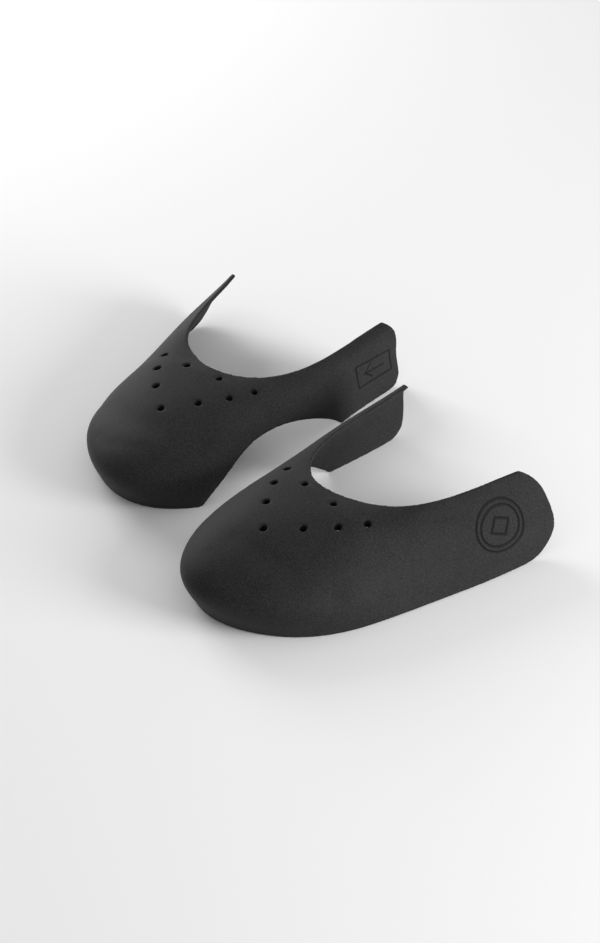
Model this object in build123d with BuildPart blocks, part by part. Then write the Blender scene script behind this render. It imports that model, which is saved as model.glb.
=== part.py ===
from build123d import *
from math import cos, radians, sin
import os

# A pair of shoe crease guards: two thin foam toe shields, one for each shoe.
# Each guard is one moulded shell with a closed toe cap, two wings that run back
# along the foot, a U-shaped opening for the instep and nine vents straight down
# through its thicker dome.
# Millimetres, +Z up, toes towards -Y. Both bottom rims stand on Z = 0.

# ---------------------------------------------------------------- driving sizes

WALL = 1.8  # thickness of the wings and rims
DOME_WALL = 4.4  # thickness of the toe dome round its vents

# Placing of the pair: the right guard lies at +X, both toes turned inwards.
SPACING = 105.5  # between the two guards' reference points, along X
STAGGER = 33  # how far the right guard's toe lies ahead of the left one's
TOE_IN = 8.7  # degrees that each guard is turned towards the other

# Cross-sections of the right guard's outer face, from the medial wing end
# round the toe to the lateral wing end. Guard frame: +X lateral, +Y to the toe.
# Each section stands on the bottom rim at its foot and faces inwards along its
# heading, in degrees. Its outline is then (inset, height) at a quarter, a half
# and three quarters of the way up the wall, and at the top rim.
SECTIONS = [
    # foot        heading  outline
    ((-60.5, -78.5), 0, [(2.5, 11.5), (7.5, 19), (13, 27.5), (17, 35)]),  # medial wing end
    ((-58.5, -36), -8, [(3.5, 10.5), (8.5, 18.5), (15, 26.5), (22.5, 33.5)]),
    ((-52.5, 6), -22, [(4.5, 10), (10.5, 20.5), (19, 29.5), (30.5, 34)]),
    ((-39, 50.5), -58, [(-1.5, 12), (16, 26.5), (34, 34), (53, 35)]),
    ((4, 75.5), -90, [(-7, 16.5), (17.5, 30.5), (41, 35), (64.5, 36.5)]),  # toe tip
    ((40, 47.5), -122, [(2.5, 13.5), (15.5, 25.5), (31.5, 33), (47.5, 35)]),
    ((47, 7), -155, [(1, 12), (5.5, 20), (13.5, 29), (23.5, 33.5)]),
    ((47.5, -32.5), -170, [(1, 12), (2, 18), (4, 26), (11, 32)]),
    ((51, -79.5), -178, [(2, 12.5), (2, 18), (2, 26.5), (6.5, 33)]),  # lateral wing end
]

# Rounded wing ends, seen from the side.
MEDIAL_END_Y = -72.6
MEDIAL_END_TOP = 34.5
MEDIAL_END_RADII = (20, 13)  # bottom corner, top corner
LATERAL_END_Y = -73.5
LATERAL_END_TOP = 33
LATERAL_END_RADII = (8, 6)

# The arch cut out of the lateral side, seen from the side. It springs from the
# toe cap, crowns beside the ball of the foot and ends at the wing's lower corner.
ARCH = [(60, 0), (53.5, 10), (42, 17), (21, 20.5), (-8.5, 13.5), (-28.5, 0)]
ARCH_CORNER_RADIUS = 2.5  # rounding of the two corners that it leaves at the floor
ARCH_INNER_X = 12  # the cut starts here, so that the medial side stays whole

# Nine vents in a triangle: its apex, three pairs down its sides and one pair
# between the last two. The triangle is turned a little about its middle.
VENT_DIAMETER = 3.5
VENT_MIDDLE = (-1, 29)
VENT_TURN = 2  # degrees
VENT_APEX_Y = 17.3  # from here on, measured from the triangle's middle
VENT_ROW_PITCH = 11.7
VENT_HALF_WIDTHS = [11.8, 20.3, 25.7]
VENT_INNER_PAIR = (9.2, -13.4)  # half width, y

# The thick part of the dome, seen from above: it covers every vent.
DOME_ZONE = (64, 50)  # width, length
DOME_ZONE_MIDDLE = (-1, 27)
DOME_ZONE_RADIUS = 14
DOME_ZONE_BAY_MIDDLE = (2, -16)  # a round bay keeps the thick part off the instep rim
DOME_ZONE_BAY_RADIUS = 29.5
DOME_ZONE_FLOOR = 20  # the thick part and the vents keep above this height
DOME_ZONE_DEPTH = 20  # from that height to past the dome's crown

SKIRT = 3  # how far the outer face runs on below the floor before it is cut level
REACH = 100  # more than half the guard's width, for cuts that run out sideways
MARGIN = 20  # how far a cutter reaches past the edge that it cuts
SURFACE_TOLERANCE = 0.05  # for the points that the pair's bounding box is read from


# ---------------------------------------------------------------- shapes in use


def section_points(foot, heading, outline):
    """One cross-section's points on the outer face, from under the floor to the top rim."""
    inwards = Vector(cos(radians(heading)), sin(radians(heading)))
    first_inset, first_height = outline[0]
    skirt = (-first_inset * SKIRT / first_height, -SKIRT)
    return [
        Vector(*foot) + inwards * inset + Vector(0, 0, height)
        for inset, height in [skirt, (0, 0), *outline]
    ]


def outer_face(sections):
    """The smooth outer face through every cross-section."""
    grid = [section_points(*section) for section in sections]
    with BuildLine() as across:
        for points in grid:
            Spline(*points)
    with BuildLine() as along:
        for points in zip(*grid):
            Spline(*points)
    return Face.make_gordon_surface(across.edges(), along.edges())


def wing_end_cut(end_y, top, radii):
    """Side view of what is cut away to round off the end of a wing."""
    with BuildSketch(Plane.YZ) as cut:
        with Locations((end_y, top / 2)):
            Rectangle(2 * MARGIN, top + 2 * MARGIN)
        with BuildSketch(mode=Mode.SUBTRACT) as wing:
            with Locations((end_y + MARGIN, top / 2)):
                Rectangle(2 * MARGIN, top)
            lower_radius, upper_radius = radii
            fillet(wing.vertices().group_by(Axis.X)[0].sort_by(Axis.Y)[0], lower_radius)
            fillet(wing.vertices().group_by(Axis.X)[0].sort_by(Axis.Y)[-1], upper_radius)
    return cut.sketch


def arch_cut():
    """Side view of the arch on the lateral side, joined to a slab under the floor."""
    front, back = ARCH[0], ARCH[-1]
    with BuildSketch(Plane.YZ.offset(ARCH_INNER_X)) as cut:
        with BuildLine():
            Spline(*ARCH)
            Line(back, front)
        make_face()
        with Locations(((front[0] + back[0]) / 2, -MARGIN / 2)):
            Rectangle(front[0] - back[0] + 2 * MARGIN, MARGIN)
        at_floor = cut.vertices().group_by(Axis.Y)[-1].sort_by(Axis.X)
        fillet(at_floor[1:-1], ARCH_CORNER_RADIUS)
    return cut.sketch


def vent_places():
    """Plan positions of the nine vents, in the guard's frame."""
    places = [(0, VENT_APEX_Y)]
    for row, half_width in enumerate(VENT_HALF_WIDTHS, start=1):
        y = VENT_APEX_Y - row * VENT_ROW_PITCH
        places += [(-half_width, y), (half_width, y)]
    half_width, y = VENT_INNER_PAIR
    places += [(-half_width, y), (half_width, y)]
    middle = Vector(*VENT_MIDDLE)
    return [middle + Vector(*place).rotate(Axis.Z, VENT_TURN) for place in places]


# ---------------------------------------------------------------- right guard

skin = outer_face(SECTIONS)

with BuildPart() as dome_lining:
    with BuildSketch(Plane.XY.offset(DOME_ZONE_FLOOR)):
        with Locations(DOME_ZONE_MIDDLE):
            RectangleRounded(*DOME_ZONE, DOME_ZONE_RADIUS)
        with Locations(DOME_ZONE_BAY_MIDDLE):
            Circle(DOME_ZONE_BAY_RADIUS, mode=Mode.SUBTRACT)
    extrude(amount=DOME_ZONE_DEPTH)
    thicken(skin, amount=-DOME_WALL, mode=Mode.INTERSECT)

with BuildPart() as right_shell:
    thicken(skin, amount=-WALL)
    with Locations((0, 0, -MARGIN / 2)):
        Box(3 * REACH, 3 * REACH, MARGIN, mode=Mode.SUBTRACT)
    extrude(
        wing_end_cut(MEDIAL_END_Y, MEDIAL_END_TOP, MEDIAL_END_RADII),
        amount=-REACH,
        mode=Mode.SUBTRACT,
    )
    extrude(
        wing_end_cut(LATERAL_END_Y, LATERAL_END_TOP, LATERAL_END_RADII),
        amount=REACH,
        mode=Mode.SUBTRACT,
    )
    extrude(arch_cut(), amount=REACH, mode=Mode.SUBTRACT)
    add(dome_lining.part)
    with BuildSketch(Plane.XY.offset(DOME_ZONE_FLOOR)):
        with Locations(*vent_places()):
            Circle(VENT_DIAMETER / 2)
    extrude(amount=DOME_ZONE_DEPTH, mode=Mode.SUBTRACT)

# ---------------------------------------------------------------- placed pair

right_place = Location((SPACING / 2, -STAGGER / 2, 0), (0, 0, 180 - TOE_IN))
left_place = Location((-SPACING / 2, STAGGER / 2, 0), (0, 0, 180 + TOE_IN))
right_placed = right_shell.part.moved(right_place)
left_placed = right_shell.part.mirror(Plane.YZ).moved(left_place)

# The origin is on the floor, under the middle of the pair's bounding box.
points, _ = Compound([right_placed, left_placed]).tessellate(SURFACE_TOLERANCE)
middle_x = (min(point.X for point in points) + max(point.X for point in points)) / 2
middle_y = (min(point.Y for point in points) + max(point.Y for point in points)) / 2
to_origin = Location((-middle_x, -middle_y, 0))

with BuildPart() as right_guard:
    add(right_placed.moved(to_origin))
right_guard.part.label = "right_guard"

with BuildPart() as left_guard:
    add(left_placed.moved(to_origin))
left_guard.part.label = "left_guard"

os.makedirs("parts", exist_ok=True)
export_step(right_guard.part, "parts/right_guard.step")
export_step(left_guard.part, "parts/left_guard.step")
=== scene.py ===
"""The looks of a pair of foam shoe crease guards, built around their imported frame.

Each guard is one foam moulding. Its shell is remeshed from the frame, smoothed, and
given the relief of a real moulding: a puffed toe dome, soft hollows, a lower edge that
flares a little, and pressed-in marks. Lengths are in metres unless a name ends in _MM.
"""

import math

import bmesh
import bpy
import numpy as np
from mathutils import Matrix, Vector
from mathutils.bvhtree import BVHTree
from mathutils.kdtree import KDTree


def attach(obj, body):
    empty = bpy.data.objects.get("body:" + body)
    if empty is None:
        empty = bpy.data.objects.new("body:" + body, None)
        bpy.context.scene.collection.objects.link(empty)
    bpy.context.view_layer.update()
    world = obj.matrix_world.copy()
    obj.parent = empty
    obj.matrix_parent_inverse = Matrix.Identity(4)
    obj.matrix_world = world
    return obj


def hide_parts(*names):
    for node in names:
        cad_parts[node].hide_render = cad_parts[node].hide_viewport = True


MM = 0.001

# ------------------------------------------------------------------ driving sizes

# The guards as the frame places them: toes to -Y, turned in, right guard at +X.
TOE_IN = math.radians(8.7)
# Where the frame puts the origin of each guard's own frame (+X lateral, +Y to the
# toe). By side: 1 for the right guard, -1 for the left one, its mirror image.
GUARD_ORIGINS_MM = {1: (52.75, -15.51), -1: (-52.75, 17.49)}

VOXEL = 0.74 * MM  # grid of the shell's mesh
SHARP_ANGLE = math.radians(35)  # CAD edges sharper than this are rims or vent mouths
EDGE_STEP = 0.25 * MM  # spacing of the points kept along the sharp edges
RIM_RADIUS_MM = 0.75  # the foam's rims are rounded by this much
VENT_RADIUS_MM = 0.15  # and the mouths of its vents by this much
ROUND_REACH = 2  # a round ends within this many of its radii from the edge
EDGE_ZONE_MM = (0.64, 1.6)  # the face smoothing fades in between these distances from an edge
FACE_SMOOTHING = 24  # rounds of smoothing away from the sharp edges
EDGE_SMOOTHING = 1  # rounds of smoothing everywhere
VENT_ZONE_MM = [(-31, 29), (3, 52)]  # across and along the dome: every vent lies inside
VENT_FLOOR_MM = 22  # and above this height
VENT_WALL_TILT = (0.3, 0.55)  # upright parts of the normals of a vent's wall and of the dome

# The relief, in a guard's own frame in mm: it moves both faces of the wall away
# from one point under the dome, so the wall keeps its thickness.
SWELL_CENTRE_MM = (-5, 15, -15)
DOME_SIDES_MM = (-38, 33)  # the puffed dome's medial and lateral edges, seen from above
DOME_REAR_MM = 14  # its rear edge; in front it runs on over the toe
DOME_CORNER_MM = 10
DOME_RISE_MM = 0.6
DOME_STEP_MM = (-6, 3)  # the rise is spread over this far outside and inside the edge
DOME_FOOT_MM = (10, 20)  # heights between which the dome's edge fades in
DOME_GROOVE_MM = 0.08  # depth of the soft groove along the dome's edge
DOME_GROOVE_WIDTH_MM = 2.2
# Soft hollows: the line that each follows, its depth and its half width.
HOLLOWS_MM = [
    ([(2, 58, 30.5), (-13, 56, 29), (-24, 52, 26), (-34, 46.5, 22), (-39, 40, 19)], 0.9, 7),
    ([(5, 69, 27), (-5, 70.5, 26), (-14, 71, 24), (-21, 67, 22.5)], 0.3, 3.5),
    ([(-37.5, -18, 29.5), (-40, -31, 29.5)], 0.45, 5),  # medial wing, near its top rim
    ([(-52, 6, 5), (-55, -23, 5), (-57, -36, 5.5), (-59, -58, 6)], 0.25, 2),  # its lower crease
]

# The medial wing's lower edge turns out a little.
FLARE_MM = 0.5
FLARE_HEIGHT_MM = 2.5
FLARE_ALONG_MM = (30, 0)  # no flare in front of the first, all of it behind the second

# The foam flexes: the left guard's lateral wing stands a little further out at its
# rear lower corner. The lean fades out upwards and towards the toe.
LEFT_SPLAY_MM = 2.9
SPLAY_HEIGHT_MM = 34  # no lean above this
SPLAY_ALONG_MM = (-25, -68)  # no lean in front of the first, the full lean behind the second

# Marks pressed into the outer faces of the wings, as lines in (y, z), in mm.
OUTER_FACE_COSINE = 0.5  # an outer face's normal points at least this much sideways
MARK_LINE_MM = 0.8  # width of a line
MARK_DEPTH_MM = 0.35
MARK_EDGE_MM = 0.2  # softness of a line's edge
MARK_SPLITS = 2  # cuts in each edge of the grid near a line
PLATE_CORNERS_MM = [(-42.3, 23), (-67.2, 20.7), (-68.2, 9.9), (-43.4, 11.4)]
ARROW_SHAFT_MM = [(-62.5, 15.4), (-48.5, 16.9)]
ARROW_HEAD_MM = [(-53.2, 20.4), (-48.5, 16.9), (-53.6, 13.2)]
RING_MIDDLE_MM = (-44.5, 19.5)
RING_RADII_MM = [(12.5, 8.6), (10.2, 6.6)]  # an outer and an inner oval
RING_TILT = math.radians(-14)
RING_POINTS = 49  # along each oval, its start counted twice
RING_DIAMOND_MM = (5.5, 3.4)  # half length and half height of the diamond in the ring

# ------------------------------------------------------------------ camera and light


def direction(azimuth, elevation):
    """The direction to a place seen from the origin. Azimuth 0 is at -Y, 90 degrees at +X."""
    return Vector(
        (
            math.sin(azimuth) * math.cos(elevation),
            -math.cos(azimuth) * math.cos(elevation),
            math.sin(elevation),
        )
    )


def add_camera():
    """Looks down on the pair from in front of the right guard's toe."""
    azimuth, elevation, roll = (math.radians(a) for a in (42.66, 36.43, -0.18))
    target = Vector((0.93, 11.39, 0)) * MM
    distance = 1076.3 * MM
    back = direction(azimuth, elevation)
    level = Vector((math.cos(azimuth), math.sin(azimuth), 0))
    right = Matrix.Rotation(roll, 3, back) @ level
    up = back.cross(right)
    camera = bpy.data.objects.new("camera", bpy.data.cameras.new("camera"))
    bpy.context.scene.collection.objects.link(camera)
    axes = Matrix((right, up, back)).transposed().to_4x4()
    camera.matrix_world = Matrix.Translation(target + back * distance) @ axes
    camera.data.sensor_width = 36
    camera.data.lens = 89.7
    camera.data.clip_start = 0.05
    bpy.context.scene.camera = camera


def add_area_light(name, azimuth, elevation, distance, size, power):
    """A soft square light that faces the middle of the pair."""
    data = bpy.data.lights.new(name, "AREA")
    data.shape = "SQUARE"
    data.size = size
    data.energy = power
    light = bpy.data.objects.new(name, data)
    bpy.context.scene.collection.objects.link(light)
    towards = direction(math.radians(azimuth), math.radians(elevation))
    light.location = towards * distance
    light.rotation_euler = towards.to_track_quat("Z", "Y").to_euler()


def add_lights():
    """Soft studio light: two low lamps, from the back left and the right, and an even fill."""
    add_area_light("back_left", azimuth=-102, elevation=22, distance=1.1, size=0.6, power=7.2)
    add_area_light("right", azimuth=108, elevation=17, distance=1.15, size=0.6, power=14.3)
    world = bpy.data.worlds.new("studio")
    world.use_nodes = True
    background = world.node_tree.nodes["Background"]
    background.inputs["Color"].default_value = (1, 1, 1, 1)
    background.inputs["Strength"].default_value = 0.47
    bpy.context.scene.world = world
    bpy.context.scene.view_settings.view_transform = "Standard"


def add_floor():
    """A plain pale floor, just under the rims."""
    half = 8.0
    mesh = bpy.data.meshes.new("floor")
    corners = [(-half, -half, 0), (half, -half, 0), (half, half, 0), (-half, half, 0)]
    mesh.from_pydata(corners, [], [(0, 1, 2, 3)])
    floor = bpy.data.objects.new("floor", mesh)
    floor.location.z = -0.05 * MM
    bpy.context.scene.collection.objects.link(floor)
    material = bpy.data.materials.new("floor")
    material.use_nodes = True
    shader = material.node_tree.nodes["Principled BSDF"]
    shader.inputs["Base Color"].default_value = (0.9, 0.9, 0.9, 1)
    shader.inputs["Roughness"].default_value = 0.9
    mesh.materials.append(material)


# ------------------------------------------------------------------ foam material


def foam_material():
    """Matte black moulded foam: a dark grey with a fine cell grain, faint mottling and a
    soft sheen at grazing angles. Painted shade darkens the marks' grooves and the vents' walls."""
    material = bpy.data.materials.new("moulded_foam")
    material.use_nodes = True
    nodes, links = material.node_tree.nodes, material.node_tree.links
    shader = nodes["Principled BSDF"]
    shader.inputs["Roughness"].default_value = 0.7
    shader.inputs["Specular IOR Level"].default_value = 0.15
    shader.inputs["Sheen Weight"].default_value = 0.046
    shader.inputs["Sheen Roughness"].default_value = 0.45
    place = nodes.new("ShaderNodeTexCoord")

    def noise(scale, detail):
        """A noise that is fixed to the foam."""
        node = nodes.new("ShaderNodeTexNoise")
        node.inputs["Scale"].default_value = scale
        node.inputs["Detail"].default_value = detail
        links.new(place.outputs["Object"], node.inputs["Vector"])
        return node

    grain = noise(scale=1900, detail=3)
    mottle = noise(scale=90, detail=2)

    colours = nodes.new("ShaderNodeValToRGB")
    colours.color_ramp.elements[0].position = 0.36
    colours.color_ramp.elements[0].color = (0.0076, 0.0076, 0.0078, 1)
    colours.color_ramp.elements[1].position = 0.64
    colours.color_ramp.elements[1].color = (0.0254, 0.0254, 0.0261, 1)
    blend = nodes.new("ShaderNodeMix")
    blend.data_type = "FLOAT"
    blend.inputs["Factor"].default_value = 0.12
    links.new(grain.outputs["Fac"], blend.inputs["A"])
    links.new(mottle.outputs["Fac"], blend.inputs["B"])
    links.new(blend.outputs["Result"], colours.inputs["Fac"])

    # Painted shade: the "groove" attribute mixes the foam's colour towards near black on the
    # marks' lines and the vents' walls, standing in for the shade in these recesses.
    groove = nodes.new("ShaderNodeAttribute")
    groove.attribute_name = "groove"
    shade_paint_mix = nodes.new("ShaderNodeMix")
    shade_paint_mix.data_type = "RGBA"
    shade_paint_mix.inputs["B"].default_value = (0.003, 0.003, 0.003, 1)
    links.new(groove.outputs["Fac"], shade_paint_mix.inputs["Factor"])
    links.new(colours.outputs["Color"], shade_paint_mix.inputs["A"])
    links.new(shade_paint_mix.outputs["Result"], shader.inputs["Base Color"])

    bump = nodes.new("ShaderNodeBump")
    bump.inputs["Strength"].default_value = 0.35
    bump.inputs["Distance"].default_value = 0.08 * MM
    links.new(grain.outputs["Fac"], bump.inputs["Height"])
    links.new(bump.outputs["Normal"], shader.inputs["Normal"])
    return material


# ------------------------------------------------------------------ mesh arrays


def coordinates(mesh):
    """A mesh's vertex positions as an array."""
    found = np.empty(len(mesh.vertices) * 3)
    mesh.vertices.foreach_get("co", found)
    return found.reshape(-1, 3)


def set_coordinates(mesh, positions):
    """Moves a mesh's vertices to the positions in an array."""
    mesh.vertices.foreach_set("co", positions.ravel())
    mesh.update()


def vertex_normals(mesh):
    """A mesh's vertex normals as an array."""
    found = np.empty(len(mesh.vertices) * 3)
    mesh.vertex_normals.foreach_get("vector", found)
    return found.reshape(-1, 3)


def edge_ends(mesh):
    """The two vertices of each of a mesh's edges as an array."""
    found = np.empty(len(mesh.edges) * 2, dtype=np.int64)
    mesh.edges.foreach_get("vertices", found)
    return found.reshape(-1, 2)


def smoothstep(low, high, value):
    """0 below low, 1 above high and a soft step between."""
    t = np.clip((value - low) / (high - low), 0, 1)
    return t * t * (3 - 2 * t)


def smoothed(positions, ends, rounds, weight):
    """Positions after rounds of smoothing. A round moves each vertex half the way to the
    mean of its neighbours, times its own weight."""
    count = len(positions)
    first, second = ends.T
    degree = np.bincount(ends.ravel(), minlength=count)[:, None]
    for _ in range(rounds):
        total = np.empty_like(positions)
        for axis in range(3):
            column = positions[:, axis]
            total[:, axis] = np.bincount(first, weights=column[second], minlength=count)
            total[:, axis] += np.bincount(second, weights=column[first], minlength=count)
        positions = positions + 0.5 * weight[:, None] * (total / degree - positions)
    return positions


# ------------------------------------------------------------------ the guard's own frame


def guard_to_row(side):
    """The transform from a guard's own frame, in mm, to the row's frame."""
    x, y = GUARD_ORIGINS_MM[side]
    turn = Matrix.Rotation(math.pi - side * TOE_IN, 4, "Z")
    flip = Matrix.Diagonal((side, 1, 1, 1))
    return Matrix.Scale(MM, 4) @ Matrix.Translation((x, y, 0)) @ turn @ flip


def own_coordinates(mesh, to_row):
    """Vertex positions in the guard's own frame, in mm."""
    back = np.array(to_row.inverted())
    return coordinates(mesh) @ back[:3, :3].T + back[:3, 3]


# ------------------------------------------------------------------ the shell's mesh


def across_face(face, edge):
    """The direction that runs into a face, square to one of its edges."""
    start, end = (v.co for v in edge.verts)
    across = face.normal.cross(end - start).normalized()
    if (face.calc_center_median() - start).dot(across) < 0:
        across.negate()
    return across


def cad_surface(node):
    """The CAD skin as a search tree. Also points along its convex sharp edges, each
    with the edge's direction and the directions into the two faces that meet there."""
    skin = bmesh.new()
    skin.from_mesh(node.data)
    bmesh.ops.remove_doubles(skin, verts=skin.verts, dist=1e-7)
    bmesh.ops.triangulate(skin, faces=skin.faces)
    bmesh.ops.recalc_face_normals(skin, faces=skin.faces)
    tree = BVHTree.FromBMesh(skin)
    corners = []
    for edge in skin.edges:
        if len(edge.link_faces) == 2 and edge.calc_face_angle_signed() > SHARP_ANGLE:
            start, end = (v.co for v in edge.verts)
            sides = [across_face(face, edge) for face in edge.link_faces]
            steps = max(1, math.ceil((end - start).length / EDGE_STEP))
            for i in range(steps + 1):
                corners.append([start.lerp(end, i / steps), (end - start).normalized(), *sides])
    skin.free()
    sharp = KDTree(len(corners))
    for index, corner in enumerate(corners):
        sharp.insert(corner[0], index)
    sharp.balance()
    return tree, sharp, np.array(corners)


def rounded(positions, corners, radius):
    """Positions with those beside a sharp edge moved onto a round that touches both
    faces. corners holds each position's nearest edge point and its directions."""
    point, along, first, second = (corners[:, k] for k in range(4))
    foot = point + along * np.sum((positions - point) * along, axis=1)[:, None]
    cosine = np.sum(first * second, axis=1)
    sine = np.sqrt(1 - cosine**2)
    centre = foot + (first + second) * (radius / sine)[:, None]
    spoke = positions - centre
    beside = (np.sum(spoke * first, axis=1) < 0) & (np.sum(spoke * second, axis=1) < 0)
    beside &= np.linalg.norm(positions - foot, axis=1) < ROUND_REACH * radius
    length = np.linalg.norm(spoke, axis=1)
    on_round = centre + spoke * (radius / length)[:, None]
    return np.where(beside[:, None], on_round, positions)


def in_vent_zone(own):
    """Which points of a guard lie in the part of the dome that holds the vents."""
    x, y, z = own.T
    (medial, lateral), (rear, front) = VENT_ZONE_MM
    return (x > medial) & (x < lateral) & (y > rear) & (y < front) & (z > VENT_FLOOR_MM)


def remeshed_shell(node, name, to_row):
    """An even, closed mesh of the CAD solid, with its rims and vent mouths rounded."""
    shell = bpy.data.objects.new(name, node.data.copy())
    bpy.context.scene.collection.objects.link(shell)
    remesh = shell.modifiers.new("even_grid", "REMESH")
    remesh.mode = "VOXEL"
    remesh.voxel_size = VOXEL
    remesh.adaptivity = 0
    bpy.context.view_layer.update()
    evaluated = shell.evaluated_get(bpy.context.evaluated_depsgraph_get())
    mesh = bpy.data.meshes.new_from_object(evaluated)
    shell.modifiers.clear()
    shell.data = mesh
    mesh.name = name

    tree, sharp, corners = cad_surface(node)
    positions = coordinates(mesh)
    to_edge = np.empty(len(positions))
    nearest_corner = np.empty(len(positions), dtype=np.int64)
    for index, position in enumerate(positions):
        nearest = tree.find_nearest(position)[0]
        positions[index] = nearest
        _, nearest_corner[index], to_edge[index] = sharp.find(nearest)
    set_coordinates(mesh, positions)
    at_vents = in_vent_zone(own_coordinates(mesh, to_row))
    radius = np.where(at_vents, VENT_RADIUS_MM, RIM_RADIUS_MM) * MM
    positions = rounded(positions, corners[nearest_corner], radius)
    ends = edge_ends(mesh)
    near, far = EDGE_ZONE_MM
    on_faces = smoothstep(near * MM, far * MM, to_edge)
    positions = smoothed(positions, ends, FACE_SMOOTHING, on_faces)
    positions = smoothed(positions, ends, EDGE_SMOOTHING, np.ones(len(positions)))
    set_coordinates(mesh, positions)
    return shell


# ------------------------------------------------------------------ foam relief


def distance_to_path(points, path):
    """Each point's distance to a chain of straight stretches."""
    nearest = np.full(len(points), np.inf)
    corners = np.array(path, dtype=float)
    for start, end in zip(corners[:-1], corners[1:]):
        along = end - start
        t = np.clip((points - start) @ along / (along @ along), 0, 1)
        foot = start + t[:, None] * along
        nearest = np.minimum(nearest, np.linalg.norm(points - foot, axis=1))
    return nearest


def depth_inside_dome(x, y):
    """How far inside the dome's plan outline a point lies: a rounded rectangle
    that is open towards the toe. Negative outside it."""
    medial, lateral = DOME_SIDES_MM
    across = np.abs(x - (medial + lateral) / 2) - (lateral - medial) / 2 + DOME_CORNER_MM
    behind = DOME_REAR_MM + DOME_CORNER_MM - y
    past = np.hypot(np.maximum(across, 0), np.maximum(behind, 0))
    return DOME_CORNER_MM - past - np.minimum(np.maximum(across, behind), 0)


def relief(own):
    """How far the foam stands out from the plain shell, in mm."""
    x, y, z = own.T
    inside = depth_inside_dome(x, y)
    rise = DOME_RISE_MM * smoothstep(*DOME_STEP_MM, inside)
    groove = DOME_GROOVE_MM * np.exp(-((inside / DOME_GROOVE_WIDTH_MM) ** 2))
    amount = (rise - groove) * smoothstep(*DOME_FOOT_MM, z)
    for path, depth, width in HOLLOWS_MM:
        amount -= depth * np.exp(-((distance_to_path(own, path) / width) ** 2))
    front, rear = FLARE_ALONG_MM
    along = smoothstep(0, 1, (front - y) / (front - rear)) * (x < 0)
    return amount + FLARE_MM * along * np.exp(-z / FLARE_HEIGHT_MM)


def splay(own, amount):
    """How far the lateral wing leans out at each point, in mm."""
    x, y, z = own.T
    front, rear = SPLAY_ALONG_MM
    along = smoothstep(0, 1, (front - y) / (front - rear))
    return amount * along * np.clip(1 - z / SPLAY_HEIGHT_MM, 0, 1) * (x > 0)


def raise_relief(guard, to_row, splay_amount):
    """Gives both faces of the wall the same soft relief and the same flex."""
    own = own_coordinates(guard.data, to_row)
    outwards = own - np.array(SWELL_CENTRE_MM)
    outwards /= np.linalg.norm(outwards, axis=1)[:, None]
    own += outwards * relief(own)[:, None]
    own[:, 0] += splay(own, splay_amount)
    forward = np.array(to_row)
    set_coordinates(guard.data, own @ forward[:3, :3].T + forward[:3, 3])


# ------------------------------------------------------------------ pressed marks


def plate_lines():
    """A plain frame round an arrow that points to the toe."""
    frame_line = PLATE_CORNERS_MM + PLATE_CORNERS_MM[:1]
    return [frame_line, ARROW_SHAFT_MM, ARROW_HEAD_MM]


def ring_lines():
    """Two tilted ovals, one inside the other, round a diamond."""
    cosine, sine = math.cos(RING_TILT), math.sin(RING_TILT)
    tilt = np.array([[cosine, -sine], [sine, cosine]])
    turns = np.linspace(0, 2 * math.pi, RING_POINTS)
    shapes = [
        np.stack([half_length * np.cos(turns), half_height * np.sin(turns)], axis=1)
        for half_length, half_height in RING_RADII_MM
    ]
    half_length, half_height = RING_DIAMOND_MM
    ends = [(half_length, 0), (0, half_height), (-half_length, 0), (0, -half_height)]
    shapes.append(np.array(ends + ends[:1]))
    return [shape @ tilt.T + np.array(RING_MIDDLE_MM) for shape in shapes]


MARKS = {1: plate_lines(), -1: ring_lines()}  # by wing: 1 lateral, -1 medial


def distance_to_mark(own, lines):
    """Each point's distance to a mark's lines, seen from the side."""
    return np.min([distance_to_path(own[:, 1:], line) for line in lines], axis=0)


def on_wing_outside(mesh, own, to_row, wing):
    """Which vertices lie on one wing's outer face. wing is 1 lateral, -1 medial."""
    across = np.array(to_row.to_3x3())[:, 0]
    across /= np.linalg.norm(across)
    facing = vertex_normals(mesh) @ across * wing
    return (own[:, 0] * wing > 0) & (facing > OUTER_FACE_COSINE)


def mark_strength(mesh, own, to_row, wing, lines):
    """1 on a mark's lines, 0 off them, with a soft edge between."""
    half = MARK_LINE_MM / 2
    beyond = smoothstep(half - MARK_EDGE_MM, half + MARK_EDGE_MM, distance_to_mark(own, lines))
    return (1 - beyond) * on_wing_outside(mesh, own, to_row, wing)


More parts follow.
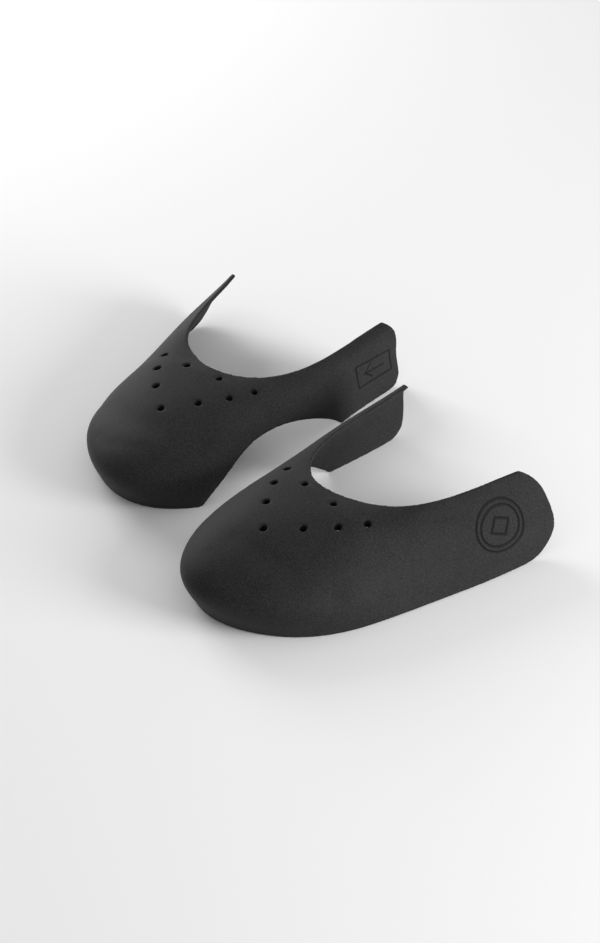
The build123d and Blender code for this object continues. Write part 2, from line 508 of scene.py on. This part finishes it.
def press_mark(guard, to_row, wing, lines):
    """Splits the grid along a mark's lines, then presses them into the foam."""
    mesh = guard.data
    own = own_coordinates(mesh, to_row)
    reach = MARK_LINE_MM / 2 + MARK_EDGE_MM + VOXEL / MM
    near = on_wing_outside(mesh, own, to_row, wing) & (distance_to_mark(own, lines) < reach)
    work = bmesh.new()
    work.from_mesh(mesh)
    faces = [face for face in work.faces if any(near[v.index] for v in face.verts)]
    edges = {edge for face in faces for edge in face.edges}
    edges = sorted(edges, key=lambda edge: edge.index)
    bmesh.ops.subdivide_edges(work, edges=edges, cuts=MARK_SPLITS, use_grid_fill=True)
    work.to_mesh(mesh)
    work.free()

    own = own_coordinates(mesh, to_row)
    depth = MARK_DEPTH_MM * MM * mark_strength(mesh, own, to_row, wing, lines)
    set_coordinates(mesh, coordinates(mesh) - vertex_normals(mesh) * depth[:, None])


def vent_walls(mesh, own):
    """1 on the upright walls of the vents, 0 on the dome: where the vents' painted shade goes.
    """
    upright = 1 - smoothstep(*VENT_WALL_TILT, np.abs(vertex_normals(mesh)[:, 2]))
    return upright * in_vent_zone(own)


def paint_recess_shade(mesh, to_row):
    """Stores painted shade for the foam material: darker on the marks' lines and the vent
    walls, where shade falls in these recesses.
    """
    own = own_coordinates(mesh, to_row)
    painted_shade = vent_walls(mesh, own)
    for wing, lines in MARKS.items():
        painted_shade = np.maximum(painted_shade, mark_strength(mesh, own, to_row, wing, lines))
    # The "groove" attribute holds this painted shade of the recesses.
    attribute = mesh.attributes.new("groove", "FLOAT", "POINT")
    attribute.data.foreach_set("value", painted_shade.astype(np.float32))


# ------------------------------------------------------------------ a finished guard


def finish_guard(name, node_name, body, side, material):
    """One finished foam guard, riding on its body in place of the CAD node."""
    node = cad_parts[node_name]
    to_row = guard_to_row(side)
    guard = remeshed_shell(node, name, to_row)
    raise_relief(guard, to_row, LEFT_SPLAY_MM if side < 0 else 0)
    for wing, lines in MARKS.items():
        press_mark(guard, to_row, wing, lines)
    paint_recess_shade(guard.data, to_row)
    guard.data.materials.clear()
    guard.data.materials.append(material)
    for polygon in guard.data.polygons:
        polygon.use_smooth = True
    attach(guard, body)
    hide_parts(node_name)


# ------------------------------------------------------------------ the scene

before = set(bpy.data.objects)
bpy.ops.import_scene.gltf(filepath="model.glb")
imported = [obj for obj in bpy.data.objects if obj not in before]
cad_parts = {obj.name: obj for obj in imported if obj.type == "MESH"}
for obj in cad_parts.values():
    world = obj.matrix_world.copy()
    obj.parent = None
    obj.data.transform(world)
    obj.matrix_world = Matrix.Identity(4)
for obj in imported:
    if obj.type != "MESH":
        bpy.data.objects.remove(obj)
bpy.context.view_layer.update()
add_camera()
add_lights()
add_floor()
foam = foam_material()
finish_guard("right_foam_guard", "right_guard", "right", 1, foam)
finish_guard("left_foam_guard", "left_guard", "left", -1, foam)
